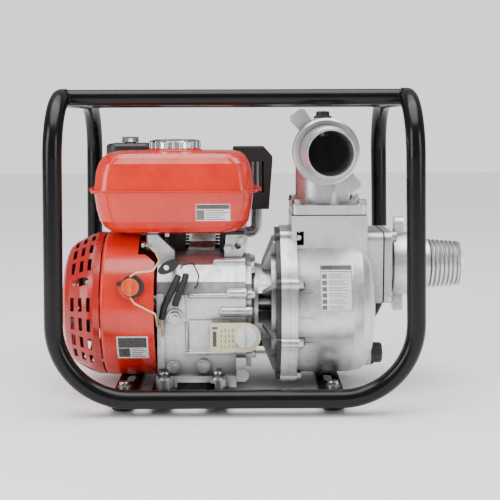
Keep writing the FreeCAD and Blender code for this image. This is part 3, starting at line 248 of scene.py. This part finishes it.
def turned_metal(name, dark, light, roughness, lines=(900.0, 900.0, 60.0)):
    """Plated or machined metal with fine tool lines and slight tarnish."""
    s = Shade(name)
    tarnish = s.noise(55.0, 5.0)
    streak = s.noise(3.0, 2.0, 0.5, lines)
    tone = s.ramp(tarnish, [(0.3, dark), (0.68, light)])
    s.join(s.mix(s.spread(streak, 0.0, 0.18), tone, dark), s.shader.inputs["Base Color"])
    s.join(s.spread(streak, roughness * 0.8, roughness * 1.3), s.shader.inputs["Roughness"])
    s.set(Metallic=1.0)
    s.bump([(streak, 0.08), (tarnish, 0.05)], 0.0003)
    return s.material


def moulded(name, dark, light, roughness, grain=1100.0, depth=0.22):
    """Moulded plastic or rubber with a fine spark-eroded grain and handling marks."""
    s = Shade(name)
    drift = s.noise(34.0, 4.0)
    s.join(s.ramp(drift, [(0.3, dark), (0.72, light)]), s.shader.inputs["Base Color"])
    s.join(s.spread(s.noise(120.0, 5.0), roughness * 0.8, roughness * 1.25), s.shader.inputs["Roughness"])
    s.set(Metallic=0.0)
    s.bump([(s.noise(grain, 2.0), depth), (s.cells(grain * 0.6), depth * 0.4)], 0.0003)
    return s.material


def printed(name, paper, ink, marks, roughness):
    """Printed film: marks are (x0, x1, z0, z1, strength) in metres in the shared frame."""
    s = Shade(name)
    x, _, z = s.axes()
    printing = None
    for x0, x1, z0, z1, strength in marks:
        across = s.math("COMPARE", x, (x0 + x1) / 2, abs(x1 - x0) / 2)
        up = s.math("COMPARE", z, (z0 + z1) / 2, abs(z1 - z0) / 2)
        mark = s.math("MULTIPLY", s.math("MULTIPLY", across, up), strength)
        printing = mark if printing is None else s.math("MAXIMUM", printing, mark)
    worn = s.math("MULTIPLY", printing, s.spread(s.noise(600.0, 3.0), 0.82, 1.0))
    base = s.ramp(s.noise(120.0, 4.0), [(0.3, tuple(c * 0.93 for c in paper)), (0.7, paper)])
    s.join(s.mix(worn, base, ink), s.shader.inputs["Base Color"])
    s.join(s.spread(s.noise(200.0, 3.0), roughness * 0.85, roughness * 1.2), s.shader.inputs["Roughness"])
    s.bump([(s.noise(700.0, 2.0), 0.06)], 0.0002)
    return s.material


def rows(x0, x1, z0, z1, lines, fill, margin=1.2):
    """Generic small print: a bar per row whose length varies, inside the given millimetre box."""
    marks = []
    pitch = (z1 - z0) / lines
    for i in range(lines):
        low = z0 + pitch * (i + 0.28)
        length = (x1 - x0 - 2 * margin) * (0.62 + 0.38 * math.sin(2.3 * i + 1.0) ** 2)
        marks.append((x0 + margin, x0 + margin + length, low, low + pitch * 0.42, fill))
    return marks


def in_metres(marks):
    """Marks about the middle of the carry frame, moved to the shared frame."""
    return [((a - ORIGIN_X) * MM, (b - ORIGIN_X) * MM, c * MM, d * MM, f) for a, b, c, d, f in marks]


def label_marks():
    """Ink on the three labels: the pump's data plate, the drum's warning and the tank's notice."""
    # data plate: title bar, rule, border and six rows of a box beside small print
    marks = [(119.6, 162.0, 185.4, 191.0, 1.0), (119.6, 162.0, 182.4, 183.4, 0.9)]
    marks += [(118.9, 119.7, 130.0, 191.4, 0.8), (161.9, 162.7, 130.0, 191.4, 0.8)]
    marks += [(118.9, 162.7, 129.6, 130.5, 0.8)]
    for i in range(6):
        low = 131.8 + 8.4 * i
        marks.append((121.0, 127.6, low, low + 6.0, 0.9))
        marks += rows(129.0, 161.5, low, low + 6.6, 3, 0.75)
    # drum's warning
    marks += [(-165.0, -125.0, 77.5, 93.0, 1.0), (-165.0, -149.0, 62.0, 76.5, 1.0)]
    marks += rows(-148.0, -124.6, 61.5, 77.0, 5, 0.95)
    # tank's notice
    marks += [(-54.2, -7.8, 271.0, 277.2, 1.0), (-54.2, -43.0, 255.4, 269.6, 0.9)]
    marks += rows(-42.5, -8.0, 254.6, 270.6, 5, 0.85)
    return in_metres(marks)


def tag_marks():
    """Ink on the hanging notice: a bar, a head and columns of short strokes."""
    marks = [(-32.5, -27.0, 78.0, 100.0, 1.0), (-33.5, -25.5, 102.5, 106.5, 0.9)]
    for i in range(5):
        x = -21.0 + 5.4 * i
        for k in range(4):
            low = 76.0 + 7.5 * k
            high = 81.2 + 7.5 * k - 1.6 * ((i + k) % 2)
            marks.append((x, x + 1.5, low, high, 0.8))
    return in_metres(marks)


# ---- The finish of each slot: its maker, and that maker's values
FINISHES = {
    "frame_black": (painted, dict(deep=(0.002, 0.002, 0.002), main=(0.004, 0.004, 0.005), roughness=0.2,
                                  coat=0.0, grain=700.0, peel=0.08, sheen=0.28)),
    "cast_aluminium": (cast_metal, dict(dark=(0.50, 0.505, 0.51), light=(0.74, 0.75, 0.76),
                                        roughness=0.34, metallic=0.85, grit=0.2)),
    "tank_red": (painted, dict(deep=(0.56, 0.008, 0.003), main=(0.92, 0.030, 0.008), roughness=0.24,
                               coat=0.35, grain=300.0, peel=0.05)),
    "shroud_red": (painted, dict(deep=(0.52, 0.008, 0.003), main=(0.88, 0.028, 0.008), roughness=0.26,
                                 coat=0.3, grain=300.0, peel=0.05)),
    "starter_red": (painted, dict(deep=(0.30, 0.004, 0.004), main=(0.60, 0.012, 0.008), roughness=0.26,
                                  coat=0.3, grain=300.0, peel=0.06)),
    "black_plastic": (moulded, dict(dark=(0.010, 0.010, 0.011), light=(0.026, 0.026, 0.028),
                                    roughness=0.38)),
    "rubber_black": (moulded, dict(dark=(0.010, 0.010, 0.010), light=(0.024, 0.024, 0.024),
                                   roughness=0.52, grain=700.0, depth=0.3)),
    "zinc": (turned_metal, dict(dark=(0.42, 0.42, 0.40), light=(0.74, 0.74, 0.72), roughness=0.30)),
    "chrome": (turned_metal, dict(dark=(0.62, 0.63, 0.64), light=(0.88, 0.89, 0.90), roughness=0.12)),
    "steel": (turned_metal, dict(dark=(0.30, 0.30, 0.31), light=(0.56, 0.56, 0.57), roughness=0.32)),
    "cast_iron": (cast_metal, dict(dark=(0.06, 0.06, 0.065), light=(0.15, 0.15, 0.16), roughness=0.55,
                                   metallic=0.8, grit=0.5)),
    "heat_black": (painted, dict(deep=(0.008, 0.008, 0.008), main=(0.020, 0.020, 0.020), roughness=0.5,
                                 coat=0.0, grain=900.0, peel=0.25)),
    "label_white": (printed, dict(paper=(0.84, 0.84, 0.82), ink=(0.012, 0.013, 0.016),
                                  marks=label_marks(), roughness=0.3)),
    "tag_cream": (printed, dict(paper=(0.74, 0.66, 0.45), ink=(0.03, 0.028, 0.024),
                                marks=tag_marks(), roughness=0.5)),
    "wire_cream": (moulded, dict(dark=(0.66, 0.44, 0.24), light=(0.88, 0.66, 0.42), roughness=0.36,
                                 grain=900.0, depth=0.1)),
    "switch_orange": (moulded, dict(dark=(0.66, 0.07, 0.006), light=(0.92, 0.13, 0.012),
                                    roughness=0.34, grain=900.0, depth=0.12)),
    "cap_pale": (moulded, dict(dark=(0.55, 0.57, 0.56), light=(0.76, 0.78, 0.76), roughness=0.36,
                               grain=800.0, depth=0.15)),
    "adapter_black": (painted, dict(deep=(0.010, 0.010, 0.010), main=(0.030, 0.030, 0.032),
                                    roughness=0.4, coat=0.1, grain=800.0)),
}


def dress_cad_nodes(materials):
    """Give every carried-over node the finish that the record names for it."""
    slots = {part["node"]: part["material_slot"] for part in frame["record"]["subparts"]}
    for name, node in frame["nodes"].items():
        node.data.materials.clear()
        node.data.materials.append(materials[slots[name]])


# ---- Extra pieces: weld beads and cast bosses


def new_piece(name, bm, material):
    """Turn a finished bmesh into a smooth piece of the fixed body."""
    mesh = bpy.data.meshes.new(name)
    bmesh.ops.recalc_face_normals(bm, faces=bm.faces)
    bm.to_mesh(mesh)
    bm.free()
    for face in mesh.polygons:
        face.use_smooth = True
    piece = bpy.data.objects.new(name, mesh)
    bpy.context.scene.collection.objects.link(piece)
    mesh.materials.append(material)
    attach(piece, "unit")


def add_bead(bm, centre, axis, radius, bead, ripples, rng, saddle=0.0):
    """Rippled weld bead: a ring that swells at each ripple, coped onto a cross tube of radius saddle."""
    turn = Vector((0, 0, 1)).rotation_difference(Vector(axis)).to_matrix()
    around = ripples * 3
    rings = []
    for i in range(around):
        angle = 2 * math.pi * i / around
        ripple = RIPPLE_SWELL * math.cos(2 * math.pi * i / 3)
        swell = bead * (1.0 + ripple + rng.uniform(-RIPPLE_WOBBLE, RIPPLE_WOBBLE))
        cope = math.sqrt(max(0.0, saddle ** 2 - (radius * math.cos(angle)) ** 2))
        ring = []
        for k in range(BEAD_SIDES):
            a = 2 * math.pi * k / BEAD_SIDES
            reach = radius + swell * math.cos(a)
            point = Vector((reach * math.cos(angle), reach * math.sin(angle), swell * math.sin(a) + cope))
            ring.append(bm.verts.new(centre + turn @ point))
        rings.append(ring)
    for i in range(around):
        here, there = rings[i], rings[(i + 1) % around]
        for k in range(BEAD_SIDES):
            after = (k + 1) % BEAD_SIDES
            bm.faces.new((here[k], there[k], there[after], here[after]))


def make_welds(materials):
    """Beads where the rails meet the arches and where the hoops meet the arches."""
    rng = random.Random(BEAD_SEED)
    bm = bmesh.new()
    for side in (-1, 1):
        for y in (-RAIL_Y, RAIL_Y):
            ring, bead, ripples = RAIL_BEAD
            add_bead(bm, at(side * ARCH_X, y, TOP_Z), (-side, 0, 0), ring * MM, bead * MM, ripples, rng,
                     TUBE_R * MM)
        for y in (-HOOP_Y, HOOP_Y):
            ring, bead, ripples = HOOP_BEAD
            add_bead(bm, at(side * JOIN_X, y, JOIN_Z), (0, 0, 1), ring * MM, bead * MM, ripples, rng)
    new_piece("weld_beads", bm, materials["frame_black"])


def add_capsule(bm, start, end, radius):
    """Cast boss: a round bar with domed ends."""
    run = end - start
    turn = Vector((0, 0, 1)).rotation_difference(run).to_matrix()
    profile = []
    for i in range(DOME_STEPS + 1):
        a = math.pi / 2 * i / DOME_STEPS
        profile.append((radius * math.sin(a), -radius * DOME_HEIGHT * math.cos(a)))
    for i in range(DOME_STEPS + 1):
        a = math.pi / 2 * (1 - i / DOME_STEPS)
        profile.append((radius * math.sin(a), run.length + radius * DOME_HEIGHT * math.cos(a)))
    rings = []
    for reach, height in profile[1:-1]:
        ring = []
        for k in range(BOSS_SIDES):
            a = 2 * math.pi * k / BOSS_SIDES
            point = Vector((reach * math.cos(a), reach * math.sin(a), height))
            ring.append(bm.verts.new(start + turn @ point))
        rings.append(ring)
    for here, there in zip(rings, rings[1:]):
        for k in range(BOSS_SIDES):
            after = (k + 1) % BOSS_SIDES
            bm.faces.new((here[k], here[after], there[after], there[k]))
    for ring, (_, height) in ((rings[0], profile[0]), (rings[-1], profile[-1])):
        tip = bm.verts.new(start + turn @ Vector((0, 0, height)))
        for k in range(BOSS_SIDES):
            bm.faces.new((ring[k], ring[(k + 1) % BOSS_SIDES], tip))


def make_castings(materials):
    """Cast bosses and stiffening ribs on the front wall of the block."""
    bm = bmesh.new()
    for start, end, radius in BOSSES:
        add_capsule(bm, at(*start), at(*end), radius * MM)
    new_piece("casting_bosses", bm, materials["cast_aluminium"])


# ---- Stage


def make_stage():
    """Floor and world: a near-white sweep that stays out of the part."""
    s = Shade("studio_floor")
    s.join(s.ramp(s.noise(1.5, 3.0), [(0.3, (0.93, 0.93, 0.93)), (0.7, (0.95, 0.95, 0.95))]),
           s.shader.inputs["Base Color"])
    s.set(Roughness=0.7)
    bm = bmesh.new()
    signs = ((-1, -1), (1, -1), (1, 1), (-1, 1))
    bm.faces.new([bm.verts.new((x * FLOOR_REACH, y * FLOOR_REACH, 0)) for x, y in signs])
    mesh = bpy.data.meshes.new("floor")
    bm.to_mesh(mesh)
    bm.free()
    floor = bpy.data.objects.new("floor", mesh)
    mesh.materials.append(s.material)
    bpy.context.scene.collection.objects.link(floor)
    world = bpy.data.worlds.new("studio")
    world.use_nodes = True
    background = world.node_tree.nodes["Background"]
    background.inputs["Color"].default_value = (1.0, 1.0, 1.0, 1.0)
    # the backdrop reads as white, and lights the pump less than it shows
    path = world.node_tree.nodes.new("ShaderNodeLightPath")
    level = world.node_tree.nodes.new("ShaderNodeMapRange")
    level.inputs["To Min"].default_value = AMBIENT
    level.inputs["To Max"].default_value = BACKDROP
    world.node_tree.links.new(path.outputs["Is Camera Ray"], level.inputs["Value"])
    world.node_tree.links.new(level.outputs["Result"], background.inputs["Strength"])
    bpy.context.scene.world = world


def add_light(name, where, width, height, power):
    """Rectangular area light turned to the middle of the pump."""
    light = bpy.data.lights.new(name, "AREA")
    light.shape = "RECTANGLE"
    light.size = width
    light.size_y = height
    light.energy = power
    lamp = bpy.data.objects.new(name, light)
    lamp.location = where
    lamp.rotation_euler = (Vector(LIGHT_TARGET) - Vector(where)).to_track_quat("-Z", "Y").to_euler()
    bpy.context.scene.collection.objects.link(lamp)


def make_lights():
    """A broad sun overhead for soft shadows, and three softboxes."""
    sky = bpy.data.lights.new("overhead_sky", "SUN")
    sky.energy = SKY_ENERGY
    sky.angle = SKY_ANGLE
    bpy.context.scene.collection.objects.link(bpy.data.objects.new("overhead_sky", sky))
    for name, where, width, height, power in SOFTBOXES:
        add_light(name, where, width, height, power)


def make_camera():
    """Camera from its pitch, yaw and roll."""
    flat = math.cos(CAMERA_PITCH)
    forward = Vector((math.sin(CAMERA_YAW) * flat, math.cos(CAMERA_YAW) * flat, -math.sin(CAMERA_PITCH)))
    level = Vector((math.cos(CAMERA_YAW), -math.sin(CAMERA_YAW), 0.0))
    upright = level.cross(forward)
    right = level * math.cos(CAMERA_ROLL) + upright * math.sin(CAMERA_ROLL)
    up = upright * math.cos(CAMERA_ROLL) - level * math.sin(CAMERA_ROLL)
    data = bpy.data.cameras.new("camera")
    data.lens = CAMERA_LENS
    data.sensor_width = CAMERA_SENSOR
    camera = bpy.data.objects.new("camera", data)
    turn = Matrix((right, up, -forward)).transposed().to_4x4()
    camera.matrix_world = Matrix.Translation(CAMERA_AT) @ turn
    bpy.context.scene.collection.objects.link(camera)
    bpy.context.scene.camera = camera


made = {name: make(name, **values) for name, (make, values) in FINISHES.items()}
dress_cad_nodes(made)
make_welds(made)
make_castings(made)
make_stage()
make_lights()
make_camera()
